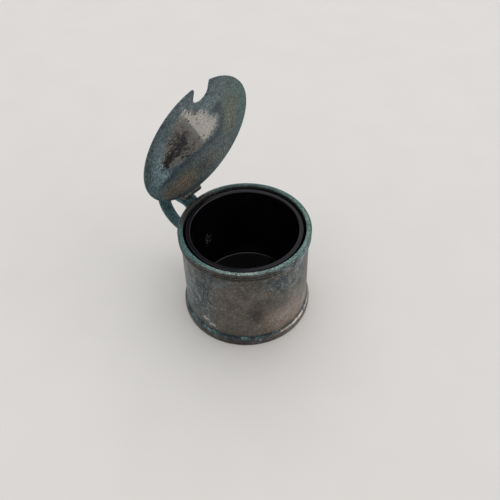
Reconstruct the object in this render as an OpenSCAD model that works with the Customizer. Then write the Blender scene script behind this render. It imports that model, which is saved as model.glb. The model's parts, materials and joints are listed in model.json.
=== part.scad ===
// Hinged mustard pot: a plated drum with a reeded rim, a glass liner, a strap handle
// and a shallow domed lid that swings on a five-knuckle hinge carried by the handle.
// The drum's axis is Z, the table is Z = 0 and the handle lies towards -X.

/* [Drum] */
// Outside diameter of the reeded rim
rim_d = 60; // [54:0.5:68]
// Height from the table to the top of the rim
pot_h = 48; // [42:0.5:56]
// Thickness of the drum's wall
wall_t = 0.9; // [0.6:0.05:1.2]
// How much the wall's radius grows from the rim to the foot
wall_flare = 0.55; // [0:0.05:1.5]
// Thickness of the base plate
floor_t = 1.2; // [0.8:0.1:2]
// Height of the base plate's underside above the table
floor_z = 1.2; // [0.6:0.1:2]

/* [Rim and foot] */
// Height of the reeded rim
rim_h = 4.05; // [3:0.05:5.5]
// Width of the rim's ring, from its inner edge to the crest of the reeds
rim_w = 2.4; // [2.1:0.05:3]
// How far the reeds stand proud of the wall
rim_proud = 1.05; // [0.7:0.05:1.4]
// Number of reeds round the rim
reed_n = 3; // [2:1:4]
// Height of the foot moulding
foot_h = 4.1; // [3.5:0.1:6]
// How far the foot stands proud of the wall
foot_proud = 1.4; // [0.8:0.1:2.2]
// Radius of the round shoulder on top of the foot
foot_round = 1.8; // [1.5:0.1:3.5]
// Width of the ledge that carries the base plate
ledge_w = 1.2; // [0.8:0.1:2]

/* [Glass liner] */
// Gap between the liner's lip and the rim
liner_gap = 1.1; // [0.4:0.1:2]
// How far the lip lies below the top of the rim
liner_sink = 0.95; // [0.4:0.05:3]
// Thickness of the glass wall
liner_t = 2.1; // [1.5:0.1:3]
// Thickness of the glass base
liner_base = 4; // [2.5:0.1:6]
// How much narrower the liner is at its base
liner_taper = 1.3; // [0:0.1:2.5]
// Radius of the rounded edges of the liner's flat lip
liner_edge = 0.5; // [0.3:0.05:0.9]
// Radius of the liner's rounded heel
liner_heel = 2; // [1:0.1:3]

/* [Handle] */
// Thickness of the strap
strap_t = 1.6; // [1.2:0.1:2.4]
// Width of the strap at its upper end
strap_w_top = 8; // [6:0.1:11]
// Width of the strap at its lower end
strap_w_low = 5.2; // [4:0.1:8]
// How far the strap's upper face lies below the top of the rim
handle_drop = 3.45; // [2.5:0.05:5]
// How far the loop reaches out from the hinge's axis, to the strap's middle
loop_reach = 21; // [18:0.25:26]
// Radius of the loop's upper bend, at the strap's middle
loop_r_top = 9.65; // [8:0.05:11.5]
// Radius of the loop's lower bend, at the strap's middle
loop_r_low = 12.5; // [10:0.1:14]
// Radius of the bend at the upper root, at the strap's middle
root_r = 3.2; // [2:0.1:4]
// Slope of the upper root, down towards the wall
top_slope = 50; // [35:1:60]
// Slope of the lower root, down towards the wall
low_slope = 18; // [8:1:25]

/* [Lid] */
// How far the lid's edge stands out past the rim
lid_over = 0.35; // [0:0.05:1]
// Thickness of the lid
lid_t = 0.9; // [0.7:0.05:1.3]
// Height of the lid's shallow dome
lid_rise = 1.2; // [0.8:0.1:2.5]
// Width of the lid's flat seat
lid_land = 1.2; // [0.8:0.1:2]
// Gap between the shut lid and the rim
lid_gap = 0.2; // [0.1:0.05:0.5]
// Angle at which the lid stands open
lid_open = 78; // [0:1:110]
// Width of the spoon notch
notch_w = 9.1; // [5:0.1:11]
// Depth of the spoon notch
notch_d = 9.6; // [6:0.1:12]
// Turn of the spoon notch away from straight opposite the hinge
notch_turn = -1.5; // [-20:0.1:20]

/* [Hinge] */
// How far the hinge's axis lies outside the rim
hinge_out = 3.2; // [2.8:0.05:4.5]
// Height of the hinge's axis above the top of the rim
hinge_up = 2; // [1.6:0.05:3]
// Diameter of the hinge's barrel
barrel_d = 3.5; // [3:0.1:4.2]
// Length of each knuckle
knuckle_w = 2; // [1.6:0.1:3.2]
// Gap between neighbouring knuckles
knuckle_gap = 0.1; // [0.05:0.05:0.3]
// Diameter of the hinge pin
pin_d = 1.4; // [1:0.1:1.8]
// Radial running clearance of the pin in the lid's knuckles
pin_fit = 0.05; // [0.02:0.01:0.1]
// Diameter of the pin's peened heads
pin_head_d = 2.4; // [2:0.1:2.8]
// Height of the pin's peened heads
pin_head_h = 0.45; // [0.3:0.05:0.8]
// Thickness of the plate that carries the lid's knuckles
leaf_t = 0.8; // [0.5:0.1:1.2]
// Length of that plate, in from the edge of the lid
leaf_l = 7; // [5:0.1:9]
// Thickness of the pad that joins the lower knuckles
pad_t = 0.7; // [0.5:0.1:1.2]
// How far the pad's front edge lies behind the hinge's axis
pad_back = 2.8; // [2:0.1:3.5]

/* [Thumbpiece] */
// Thickness of the thumbpiece
thumb_t = 1.2; // [0.8:0.1:1.6]
// Width of the thumbpiece across its round top
thumb_w = 9; // [6:0.1:11]
// Width of the thumbpiece at its root
thumb_root_w = 5.2; // [4:0.1:7]
// Radius of its backward curve
thumb_r = 8.5; // [7:0.1:10]
// Angle of its backward curve
thumb_sweep = 58; // [45:1:65]
// How far its root lies in from the lid's edge
thumb_in = 1.9; // [1.5:0.1:3]

/* [Hidden] */
$fn = 96;
metal = "#8f8878";
worn = "#a9aaa0";
teal = "#6f9a95";
glass = "#11121c";

// Length by which a cut runs past the face that it leaves
past = 1;

// Drum
rim_r = rim_d / 2;
reed_r = rim_h / (2 * reed_n);
wall_top_r = rim_r - rim_proud;
wall_foot_r = wall_top_r + wall_flare;
wall_top_z = pot_h - rim_h;
foot_r = wall_foot_r + foot_proud;
floor_r = wall_foot_r - wall_t - ledge_w;
floor_top = floor_z + floor_t;

// Liner
lip_r = rim_r - rim_w - liner_gap;
liner_h = pot_h - liner_sink - floor_top;

// Hinge, in the part's own frame
hinge_x = -(rim_r + hinge_out);
hinge_z = pot_h + hinge_up;
barrel_r = barrel_d / 2;
centre_knuckle = [-knuckle_w / 2, knuckle_w / 2];
low_knuckle = centre_knuckle + [1, 1] * (knuckle_w + knuckle_gap);
end_knuckle = low_knuckle + [1, 1] * (knuckle_w + knuckle_gap);
barrel_half = end_knuckle[1];

// Handle, on the middle of the strap: the upper root runs up from the wall and bends
// level under the hinge, the loop goes round in two bends, and a long sweep brings the
// lower root level into the wall
arc_step = 6;
root_sink = 6;
strap_face = pot_h - handle_drop;
strap_z = strap_face - strap_t / 2;
root_c = [hinge_x - pad_back, strap_z - root_r];
root_bend = root_c + root_r * [sin(top_slope), cos(top_slope)];
root_start = root_bend + (root_sink - wall_top_r - root_bend[0]) * [1, -tan(top_slope)];
loop_x = hinge_x - loop_reach;
loop_z = strap_z - loop_r_top;
low_end = [loop_x + loop_r_low * (1 - sin(low_slope)), loop_z - loop_r_low * cos(low_slope)];
sweep_r = (root_sink - wall_foot_r - low_end[0]) / sin(low_slope);
sweep_c = low_end + sweep_r * [sin(low_slope), cos(low_slope)];
low_root_z = sweep_c[1] - sweep_r;

// Lid, from its seat upwards: a dome is part of a ball, and rises from a circle of
// radius edge_r at height base_z
dome_fn = 1440;
lid_r = rim_r + lid_over;
lid_seat = pot_h + lid_gap;
leaf_top = lid_t + leaf_t;
function ball_r(edge_r) = (edge_r * edge_r + lid_rise * lid_rise) / (2 * lid_rise);
function ball_z(edge_r, base_z) = base_z + lid_rise - ball_r(edge_r);
function dome_z(r, base_z) = ball_z(lid_r, base_z) + sqrt(pow(ball_r(lid_r), 2) - r * r);

// Angle, below level, at which a lower knuckle runs into its gusset
gusset_turn = 60;

// Angle by which the thumbpiece's curve runs on past both of its ends before it is trimmed
thumb_spare = thumb_sweep / 4;

// Draws an outline of the X-Z plane as a solid from y0 to y1
module across(y0, y1) {
    translate([0, y1, 0]) rotate([90, 0, 0]) linear_extrude(y1 - y0) children();
}

// Repeats a solid at both ends of the hinge
module both_ends() {
    children();
    mirror([0, 1, 0]) children();
}

// Turns the lid's pieces from shut to open about the hinge's axis
module opened() {
    translate([hinge_x, 0, hinge_z]) rotate([0, -lid_open, 0]) translate([-hinge_x, 0, -hinge_z]) children();
}

// Everything inside the outer face of the drum's wall
module drum_plug() {
    translate([0, 0, foot_h]) cylinder(h = wall_top_z - foot_h, r1 = wall_foot_r, r2 = wall_top_r);
}

module drum_wall() {
    color(metal) difference() {
        drum_plug();
        translate([0, 0, foot_h]) cylinder(h = wall_top_z - foot_h, r1 = wall_foot_r - wall_t,
            r2 = wall_top_r - wall_t);
    }
}

module rim_moulding() {
    core_w = rim_w - reed_r;
    color(teal) rotate_extrude() {
        translate([rim_r - rim_w, wall_top_z]) square([core_w, rim_h]);
        for (i = [0 : reed_n - 1])
            translate([rim_r - reed_r, wall_top_z + reed_r * (1 + 2 * i)]) circle(reed_r);
    }
}

module foot_moulding() {
    round_z = foot_h - sqrt(foot_round * foot_round - pow(foot_round - foot_proud, 2));
    ledge_r = floor_r - ledge_w;
    color(metal) rotate_extrude() difference() {
        intersection() {
            union() {
                translate([ledge_r, 0]) square([foot_r - ledge_r, round_z]);
                translate([floor_r, 0]) square([foot_r - foot_round - floor_r, foot_h]);
                translate([foot_r - foot_round, round_z]) circle(foot_round);
            }
            translate([ledge_r, 0]) square([foot_r, foot_h]);
        }
        translate([ledge_r - past, floor_z]) square([ledge_w + past, foot_h]);
    }
}

module base_plate() {
    color(metal) translate([0, 0, floor_z]) cylinder(h = floor_t, r = floor_r);
}

module glass_liner() {
    base_r = lip_r - liner_taper;
    side_h = liner_h - liner_edge;
    lip_in = lip_r - liner_t;
    heel_r = base_r + liner_taper * liner_heel / side_h;
    color(glass) translate([0, 0, floor_top]) rotate_extrude() difference() {
        union() {
            polygon([[0, 0], [heel_r - liner_heel, 0], [heel_r, liner_heel], [lip_r, side_h], [0, side_h]]);
            translate([heel_r - liner_heel, liner_heel]) intersection() {
                circle(liner_heel);
                translate([0, -liner_heel]) square([liner_heel, liner_heel]);
            }
            translate([lip_in + liner_edge, side_h]) square([liner_t - 2 * liner_edge, liner_edge]);
            for (x = [lip_in + liner_edge, lip_r - liner_edge]) translate([x, side_h]) circle(liner_edge);
        }
        polygon([[0, liner_base], [base_r - liner_t, liner_base], [lip_in, side_h],
            [lip_in, liner_h + past], [0, liner_h + past]]);
    }
}

// Points of an arc round c in the X-Z plane, a few degrees apart
function arc(c, r, a0, a1) = let (n = max(6, ceil((a1 - a0) / arc_step)))
    [for (i = [0 : n]) c + r * [cos(a0 + (a1 - a0) * i / n), sin(a0 + (a1 - a0) * i / n)]];

function reversed(points) = [for (i = [len(points) - 1 : -1 : 0]) points[i]];

// One face of the strap from its upper root to its lower one, at a distance from its middle
function strap_side(off) = concat(
    [root_start + off * [sin(top_slope), cos(top_slope)]],
    arc(root_c, root_r + off, 90 - top_slope, 90),
    arc([loop_x + loop_r_top, loop_z], loop_r_top + off, 90, 180),
    arc([loop_x + loop_r_low, loop_z], loop_r_low + off, 180, 270 - low_slope),
    arc(sweep_c, sweep_r + off, 270 - low_slope, 270));

// Half the strap's width at a height, tapering evenly between its two ends
function strap_half(z) = (strap_w_low + (strap_w_top - strap_w_low) * (z - low_root_z)
    / (strap_face - low_root_z)) / 2;

// Room for the strap between its two tapering edges
module strap_taper() {
    low_z = low_root_z - 2 * strap_t;
    translate([loop_x - strap_t, 0, 0]) rotate([90, 0, 90]) linear_extrude(-loop_x) polygon([
        [-strap_half(low_z), low_z], [strap_half(low_z), low_z],
        [strap_half(strap_face), strap_face], [-strap_half(strap_face), strap_face]]);
}

module strap_handle() {
    color(teal) difference() {
        intersection() {
            across(-strap_w_top, strap_w_top)
                polygon(concat(strap_side(strap_t / 2), reversed(strap_side(-strap_t / 2))));
            strap_taper();
        }
        drum_plug();
    }
}

// Side outline of one lower knuckle with the gusset that stands on the handle
module low_knuckle_outline() {
    gusset_r = hinge_z - strap_face;
    gusset_x = hinge_x - barrel_r - gusset_r;
    translate([hinge_x, hinge_z]) circle(barrel_r);
    difference() {
        polygon([[gusset_x, strap_face], [root_c[0], strap_face],
            [hinge_x + barrel_r * cos(gusset_turn), hinge_z - barrel_r * sin(gusset_turn)],
            [hinge_x, hinge_z], [gusset_x, hinge_z]]);
        translate([gusset_x, hinge_z]) circle(gusset_r);
    }
}

module hinge_bracket() {
    pad_half = min(low_knuckle[1], strap_w_top / 2);
    pad_from = hinge_x - barrel_r - (hinge_z - strap_face);
    color(metal) difference() {
        union() {
            both_ends() across(low_knuckle[0], low_knuckle[1]) low_knuckle_outline();
            translate([pad_from, -pad_half, strap_face]) cube([root_c[0] - pad_from, 2 * pad_half, pad_t]);
        }
        across(-barrel_half, barrel_half) translate([hinge_x, hinge_z]) circle(pin_d / 2);
    }
}

module hinge_pin() {
    pin_half = barrel_half + knuckle_gap;
    color(metal) {
        across(-pin_half, pin_half) translate([hinge_x, hinge_z]) circle(pin_d / 2);
        both_ends() translate([hinge_x, pin_half, hinge_z]) rotate([-90, 0, 0])
            cylinder(h = pin_head_h, d1 = pin_head_d, d2 = pin_d);
    }
}

// Half outline of all that lies between the lid's seat and a dome
module under_dome(edge_r, base_z) {
    intersection() {
        translate([0, ball_z(edge_r, base_z)]) circle(ball_r(edge_r), $fn = dome_fn);
        square([lid_r, base_z + lid_rise + past]);
    }
}

// Outline of the spoon notch, open at the lid's edge
module notch_outline() {
    inner_x = lid_r - notch_d + notch_w / 2;
    translate([inner_x, 0]) circle(notch_w / 2);
    translate([inner_x, -notch_w / 2]) square([lid_r - inner_x + past, notch_w]);
}

module shut_lid() {
    translate([0, 0, lid_seat]) rotate_extrude() difference() {
        under_dome(lid_r, lid_t);
        under_dome(lid_r - lid_land, 0);
    }
}

module lid() {
    color(worn) opened() difference() {
        shut_lid();
        rotate([0, 0, notch_turn]) translate([0, 0, lid_seat - past])
            linear_extrude(lid_rise + lid_t + 2 * past) notch_outline();
    }
}

// Half outline of the plate that lies on the lid and carries its knuckles
module leaf_outline() {
    intersection() {
        difference() {
            under_dome(lid_r, leaf_top);
            under_dome(lid_r, lid_t);
        }
        translate([lid_r - leaf_l, 0]) square([leaf_l, leaf_top + lid_rise]);
    }
}

// Side outline of one upper knuckle with the arm that runs in to the leaf, whose
// lower edge stays inside the thickness of the leaf
module lid_knuckle_outline() {
    arm_r = lid_r - lid_land;
    mid_z = lid_t + leaf_t / 2;
    translate([hinge_x, hinge_z]) circle(barrel_r);
    polygon([[hinge_x, hinge_z - barrel_r / 2], [-lid_r, lid_seat + dome_z(lid_r, mid_z)],
        [-arm_r, lid_seat + dome_z(arm_r, mid_z)], [-arm_r, lid_seat + dome_z(arm_r, leaf_top)],
        [hinge_x, hinge_z + barrel_r]]);
}

module lid_hinge_leaf() {
    leaf_angle = 2 * asin(barrel_half / (lid_r - leaf_l));
    color(metal) opened() difference() {
        union() {
            translate([0, 0, lid_seat]) rotate([0, 0, 180 - leaf_angle / 2])
                rotate_extrude(angle = leaf_angle) leaf_outline();
            across(centre_knuckle[0], centre_knuckle[1]) lid_knuckle_outline();
            both_ends() across(end_knuckle[0], end_knuckle[1]) lid_knuckle_outline();
        }
        across(-barrel_half - past, barrel_half + past) translate([hinge_x, hinge_z])
            circle(pin_d / 2 + pin_fit);
    }
}

// Front view of the thumbpiece: a stem that widens into a round top
module thumb_outline() {
    top = thumb_r * sin(thumb_sweep);
    polygon([[-thumb_root_w / 2, -leaf_top], [thumb_root_w / 2, -leaf_top], [thumb_root_w / 2, 0],
        [thumb_w / 2, top - thumb_w / 2], [-thumb_w / 2, top - thumb_w / 2], [-thumb_root_w / 2, 0]]);
    translate([0, top - thumb_w / 2]) circle(thumb_w / 2);
}

module thumbpiece() {
    root = lid_r - thumb_in;
    root_z = lid_seat + dome_z(root, leaf_top);
    color(metal) opened() difference() {
        translate([-root - thumb_r, 0, root_z]) intersection() {
            rotate([90, 0, 0]) rotate([0, 0, -thumb_spare])
                rotate_extrude(angle = thumb_sweep + 2 * thumb_spare)
                    translate([thumb_r, 0]) square([thumb_t, thumb_w], center = true);
            rotate([90, 0, 90]) linear_extrude(2 * thumb_r) thumb_outline();
        }
        translate([0, 0, lid_seat]) rotate_extrude() under_dome(lid_r, leaf_top);
    }
}

drum_wall();
rim_moulding();
foot_moulding();
base_plate();
strap_handle();
hinge_bracket();
hinge_pin();
lid();
lid_hinge_leaf();
thumbpiece();
glass_liner();
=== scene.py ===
"""Dresses a mustard pot: a worn plated drum with a reeded rim, a dark glass liner, a strap handle
and a shallow domed lid on a five-knuckle hinge.

Lengths are written in millimetres and become metres when a mesh is made. The drum's axis is Z, the
table is Z = 0 and the handle lies towards -X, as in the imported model.
"""

import json
import logging
import math
from collections.abc import Sequence
from dataclasses import dataclass
from enum import Enum

import bmesh
import bpy
import numpy as np
from mathutils import Matrix, Vector
from numpy.typing import NDArray

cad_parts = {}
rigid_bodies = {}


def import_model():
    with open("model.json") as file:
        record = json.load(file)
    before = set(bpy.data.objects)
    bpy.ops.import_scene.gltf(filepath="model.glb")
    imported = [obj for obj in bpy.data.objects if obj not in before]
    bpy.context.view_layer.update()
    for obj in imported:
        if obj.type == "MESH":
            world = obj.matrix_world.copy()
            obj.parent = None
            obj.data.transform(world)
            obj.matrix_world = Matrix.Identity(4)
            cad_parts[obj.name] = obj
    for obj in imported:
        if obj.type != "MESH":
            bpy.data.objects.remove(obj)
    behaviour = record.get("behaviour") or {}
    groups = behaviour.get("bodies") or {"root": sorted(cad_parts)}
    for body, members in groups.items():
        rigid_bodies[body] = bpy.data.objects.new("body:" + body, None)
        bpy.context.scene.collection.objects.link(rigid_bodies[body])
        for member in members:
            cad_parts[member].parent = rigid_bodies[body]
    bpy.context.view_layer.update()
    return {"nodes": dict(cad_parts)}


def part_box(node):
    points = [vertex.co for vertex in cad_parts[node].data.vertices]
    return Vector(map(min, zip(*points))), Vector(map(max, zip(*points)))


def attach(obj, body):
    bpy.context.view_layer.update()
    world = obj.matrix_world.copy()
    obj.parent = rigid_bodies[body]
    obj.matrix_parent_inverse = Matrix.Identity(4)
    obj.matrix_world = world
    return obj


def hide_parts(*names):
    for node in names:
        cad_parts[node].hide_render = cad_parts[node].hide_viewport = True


Array = NDArray[np.float64]
Socket = bpy.types.NodeSocket
Value = Socket | float | Sequence[float]
Path = Sequence[tuple[float, float]]
Band = tuple[Path, float, float]

# One millimetre in metres, the unit of the meshes.
MM = 0.001
# Points nearer to each other than this, in metres, become one.
MERGE = 1e-7
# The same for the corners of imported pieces.
WELD = 1e-6
# The way round Z in which leaning streaks lean, in degrees.
LEAN_WAY = 135.0
log = logging.getLogger("mustard_pot")


class Mask(Enum):
    """A layer of a plate's finish, by the point attribute that says how much of it lies where."""

    BLUE = "blue"
    # Coppery tone; at the wall's lower right also a painted sheen.
    WARM = "warm"
    OLIVE = "olive"
    # On the wall and foot it also carries painted highlights, and on the lid's inner face a painted
    # reflection.
    BARE = "bare"
    DARK = "dark"
    SLATE = "slate"
    PALE = "pale"
    GREEN = "green"
    GOLD = "gold"


class Body(Enum):
    """The bodies that the pieces ride on."""

    POT = "pot"
    LID = "lid"
    LINER = "liner"


class Slot(Enum):
    """The record's material slots."""

    WORN = "worn_plate"
    GREEN = "verdigris_plate"
    LID = "lid_plate"
    GLASS = "dark_glass"


class Sum(Enum):
    """What a math node works out."""

    PLUS = "ADD"
    MINUS = "SUBTRACT"
    TIMES = "MULTIPLY"
    LARGER = "MAXIMUM"


class Kind(Enum):
    """What a mix node mixes and how, with the places of its first input and its output."""

    COLOUR = ("RGBA", "MIX", 6, 2)
    PRODUCT = ("RGBA", "MULTIPLY", 6, 2)
    NUMBER = ("FLOAT", "MIX", 2, 0)


Masks = dict[Mask, Array]
Ovals = dict[Mask, tuple[tuple[float, ...], ...]]

# The wall's soft ovals: angle from the front, height, half lengths both ways and strength.
WALL_STAINS: Ovals = {
    Mask.BLUE: (
        (-52, 24, 26, 18, 0.65), (-80, 22, 16, 20, 0.55), (-25, 40, 26, 5, 0.42), (33, 37, 26, 7, 0.4),
        (52, 30, 14, 10, 0.4), (-66, 11, 16, 8, 0.3), (54, 42, 10, 3, 0.5), (120, 28, 40, 16, 0.5),
    ),
    Mask.SLATE: (
        (-42, 31, 12, 8, 0.8), (-33, 41.5, 16, 3, 0.65), (-52, 18, 18, 9, 0.6), (36, 34, 16, 6, 0.6),
        (60, 30, 10, 9, 0.4), (26, 40, 20, 3, 0.4),
    ),
    # Coppery tone; the rows at the lower right are lightened into a painted sheen.
    Mask.WARM: (
        (27, 14, 20, 7, 0.8), (48, 16, 14, 9, 0.6), (-10, 12, 16, 6, 0.08), (-170, 22, 40, 12, 0.6),
        (48, 7, 24, 4, 0.5),
    ),
    Mask.DARK: ((8, 20, 9, 9, 0.8), (5, 41, 45, 6, 0.5)),
    # Rubbed metal on the right, made pale as a painted highlight.
    Mask.BARE: ((66, 11, 12, 7, 0.5), (36, 12, 16, 6, 0.32)),
    Mask.GOLD: ((-5, 25, 35, 18, 0.14), (50, 25, 8, 5, 0.34)),
    Mask.PALE: (
        (40, 36, 22, 7, 0.14), (58, 18, 10, 10, 0.14), (-52, 26, 26, 16, 0.14),
        (-41, 10.8, 3.5, 1.6, 0.58), (-34, 8.6, 4.5, 1.4, 0.58),
    ),
}

# The ovals of the lid's inner face, in its plane: X towards the notch, Y, half lengths, strength.
LID_STAINS: Ovals = {
    # Negative rows trim the bright patch, a painted reflection on polished plate.
    Mask.BARE: ((18.5, 0, 5, 10, -0.4), (10, 8, 5, 5, -0.32)),
    Mask.SLATE: (
        (12.9, 10, 2.2, 2.2, 0.6), (-17, 5, 5, 6, 0.48), (-8, 16, 7, 4, 0.42), (-28.5, 0, 2.2, 18, 0.6),
        (-23, 10, 6, 7, 0.35), (-26, -14, 5, 8, 0.5), (-12, 24, 10, 4, 0.4),
    ),
    Mask.DARK: ((16, 0, 5, 9, 0.3),),
    Mask.BLUE: ((-4, -21, 10, 5, 1.05), (11, -22, 11, 4, 0.35), (17, 5, 6, 8, 0.45)),
    Mask.WARM: ((-21, -8, 7, 12, 0.9), (-17, 11, 8, 9, 0.55), (-24, -10, 7, 8, 0.6)),
    Mask.OLIVE: ((2, 20, 16, 6, 0.8), (14, 17, 10, 8, 0.5)),
    Mask.GOLD: ((-19, -4, 7, 16, 0.32), (2, 19, 18, 7, 0.26), (20, 14, 8, 8, 0.08)),
    Mask.GREEN: ((20, 22, 10, 8, 0.6), (4, 28.5, 24, 3.5, 0.75), (-12, -25, 14, 6, 0.45)),
    Mask.PALE: ((-8.9, -17.4, 3, 3.5, 0.42), (4, -24, 16, 5, 0.2)),
}

# The ovals of its outer face, some with a lean in degrees.
LID_BACK_STAINS: Ovals = {
    Mask.WARM: ((-4, 4, 17, 13, 0.75), (-24, 10, 8, 9, 0.5)),
    Mask.BARE: ((-2, 3, 10, 8, 0.32), (-21, -11, 5, 5, 0.25)),
    Mask.BLUE: ((13, -13, 11, 9, 0.6), (6, 22, 14, 6, 0.45)),
    Mask.SLATE: ((9, 11, 8, 4, 0.5, 30), (-12, -15, 12, 4, 0.5, -25)),
    Mask.PALE: ((18, -16, 9, 7, 0.25),),
    Mask.GOLD: ((-8, 16, 12, 7, 0.24),),
}

# The outline of the bright patch on the lid's inner face: polished plate whose pale colour is a painted
# reflection.
LID_PATCH: Path = (
    (23, -11), (20, -4), (16.5, 4), (11, 7.5), (7, 12), (1.5, 11.5), (-2.5, 7.5), (-5.5, 2.5),
    (-7, -6), (-5, -15), (0, -21), (6, -20), (14, -16.5),
)
# The dark line that bends round it: its path, half width and strength.
LID_LINE: Band = (
    ((13.5, 11), (6.5, 14.5), (-1, 15), (-5.5, 11.8), (-7.2, 5), (-8, -3), (-10.5, -10), (-12.5, -19)),
    2.4, 0.68,
)
# The bands of the dark smear over the patch.
LID_SMEARS: tuple[Band, ...] = (
    (((10, -13), (4, -11.5), (0.5, -14.5), (-2, -17.5)), 4.6, 0.5),
    (((8, -7.5), (3.5, -8), (-1, -9)), 3.0, 0.3),
    (((10, -16.5), (5, -16), (1, -17.5)), 2.4, 0.2),
    (((2.5, -15), (-2.5, -18)), 2.2, 0.36),
    (((5, -9), (-1, -6), (-3, -3)), 4.0, 0.36),
    (((-1, -1), (0.3, 0.5), (0.2, 4.6)), 1.2, 0.4),
    (((-5.5, -8), (-6.5, -4)), 2.0, 0.3),
)


def linear(code: str) -> tuple[float, float, float, float]:
    """Turns a screen colour into a linear one.

    Args:
        code: six hexadecimal digits, red, green and blue.

    Returns:
        The linear colour, with full alpha.
    """
    screen = np.array([int(code[i : i + 2], 16) for i in (0, 2, 4)]) / 255
    red, green, blue = np.where(screen < 0.04045, screen / 12.92, ((screen + 0.055) / 1.055) ** 2.4)
    return float(red), float(green), float(blue), 1.0


def packed_box(node: str) -> Array:
    """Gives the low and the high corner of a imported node's box, in millimetres."""
    return np.array([tuple(corner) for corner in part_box(node)]) / MM


def arc(centre: Sequence[float], radius: float, start: float, end: float, count: int) -> Array:
    """Draws an arc: centre + radius * (cos t, sin t), t evenly from start to end, in degrees."""
    turn = np.radians(np.linspace(start, end, count))
    return np.asarray(centre) + radius * np.stack([np.cos(turn), np.sin(turn)], axis=1)


def rounded(corners: Sequence[tuple[float, float, float]], count: int = 7) -> Array:
    """Draws a closed outline with round corners.

    Each corner becomes the arc that touches both of its sides: the arc's centre lies on the corner's
    bisector, radius / sin(half angle) away, and its ends lie radius / tan(half angle) along the sides.

    Args:
        corners: x, y and radius of each corner, in order round the outline.
        count: how many points each arc has.

    Returns:
        The outline's points, one row each.
    """
    table = np.asarray(corners, float)
    point, radius = table[:, :2], table[:, 2:]
    back, ahead = (np.roll(point, step, axis=0) - point for step in (1, -1))
    back /= np.linalg.norm(back, axis=1, keepdims=True)
    ahead /= np.linalg.norm(ahead, axis=1, keepdims=True)
    half = np.arccos(np.clip((back * ahead).sum(axis=1, keepdims=True), -1, 1)) / 2
    middle = (back + ahead) / np.linalg.norm(back + ahead, axis=1, keepdims=True)
    centre = point + middle * radius / np.sin(half)
    first = point + back * radius / np.tan(half) - centre
    last = point + ahead * radius / np.tan(half) - centre
    start = np.arctan2(first[:, 1], first[:, 0])
    sweep = np.arctan2(last[:, 1], last[:, 0]) - start
    sweep = (sweep + np.pi) % (2 * np.pi) - np.pi
    turn = start[:, None] + sweep[:, None] * np.linspace(0, 1, count)
    ring = np.stack([np.cos(turn), np.sin(turn)], axis=2) * radius[:, None]
    return (centre[:, None] + ring).reshape(-1, 2)


def filled(outline: Array, step: float, closed: bool = True) -> Array:
    """Adds points on an outline's long stretches, evenly, so that none is longer than a step.

    Args:
        outline: the outline's points.
        step: the longest stretch that may stay.
        closed: whether the last point is joined to the first.

    Returns:
        The outline with the added points.
    """
    stretch = np.roll(outline, -1, axis=0) - outline
    counts = np.maximum(1, np.ceil(np.linalg.norm(stretch, axis=1) / step)).astype(int)
    if not closed:
        counts[-1] = 1
    index = np.repeat(np.arange(len(outline)), counts)
    share = (np.arange(len(index)) - (np.cumsum(counts) - counts)[index]) / counts[index]
    return outline[index] + share[:, None] * stretch[index]


def lathe(profile: Array, steps: int) -> Array:
    """Turns a profile round Z: each point (r, z) becomes a circle of radius r at height z.

    Args:
        profile: the profile's points, anticlockwise where it is closed.
        steps: how many points each circle has.

    Returns:
        A grid of points, one row for each point of the profile.
    """
    turn = np.linspace(0, 2 * np.pi, steps, endpoint=False)
    radius, height = profile[:, :1], np.broadcast_to(profile[:, 1:], (len(profile), steps))
    return np.stack([radius * np.cos(turn), radius * np.sin(turn), height], axis=2)


def polar(points: Array, front: float) -> tuple[Array, Array]:
    """Gives each point's angle round Z, in degrees either way from a front, and its height."""
    angle = np.degrees(np.arctan2(points[..., 1], points[..., 0])) - front
    return (angle + 180) % 360 - 180, points[..., 2]


def bell(value: Array, middle: float, reach: float) -> Array:
    """Gives exp(-d * d), d being a value's distance from the middle in units of the reach."""
    return np.exp(-(((value - middle) / reach) ** 2))


def ramp(value: Array, start: float, reach: float) -> Array:
    """Rises evenly from 0 at the start to 1 a reach further on."""
    return np.clip((value - start) / reach, 0, 1)


def ripple(first: Array, second: Array, size: float, seed: int, waves: int = 12) -> Array:
    """Makes a smooth uneven field: a sum of cosines in random directions, about -1 to 1.

    Each wave fits a whole number of times into 360 of the first coordinate, so that the field closes
    where that coordinate is an angle.

    Args:
        first: the field's first coordinate at each point.
        second: its second coordinate.
        size: the typical length of a wave, in the coordinates' unit.
        seed: picks the waves.
        waves: how many cosines are added.

    Returns:
        The field at each point.
    """
    draw = np.random.default_rng(seed)
    angle, phase = draw.uniform(0, 2 * np.pi, (2, waves))
    rate = 2 * np.pi / size * draw.uniform(0.6, 1.6, waves)
    turn = np.radians(1) * np.round(rate * np.cos(angle) / np.radians(1))
    along = first[..., None] * turn + second[..., None] * rate * np.sin(angle)
    return np.cos(along + phase).sum(axis=-1) / math.sqrt(waves)


def oval(first: Array, second: Array, row: Sequence[float]) -> Array:
    """Gives a soft oval: strength * exp(-d * d), d being the distance from its middle in half lengths.

    The first coordinate runs on round 360, so that an oval on the drum closes at its back.

    Args:
        first: the points' first coordinate.
        second: their second coordinate.
        row: the middle's coordinates, the half lengths, the strength and, if it leans, the degrees.

    Returns:
        The oval's strength at each point.
    """
    at, level, wide, high, strength, *lean = row
    turn = math.radians(sum(lean))
    across, up = (first - at + 180) % 360 - 180, second - level
    along = across * math.cos(turn) + up * math.sin(turn)
    beside = up * math.cos(turn) - across * math.sin(turn)
    return strength * np.exp(-((along / wide) ** 2) - (beside / high) ** 2)


def stained(ovals: Ovals, first: Array, second: Array, drawn: Masks | None = None) -> Masks:
    """Adds up a surface's ovals, layer by layer.

    Args:
        ovals: each layer's ovals.
        first: the points' first coordinate.
        second: their second coordinate.
        drawn: masks that they are added to.

    Returns:
        The sum for each layer.
    """
    sums = dict(drawn or {})
    for mask, rows in ovals.items():
        for row in rows:
            sums[mask] = sums.get(mask, 0.0) + oval(first, second, row)
    return sums


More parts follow.
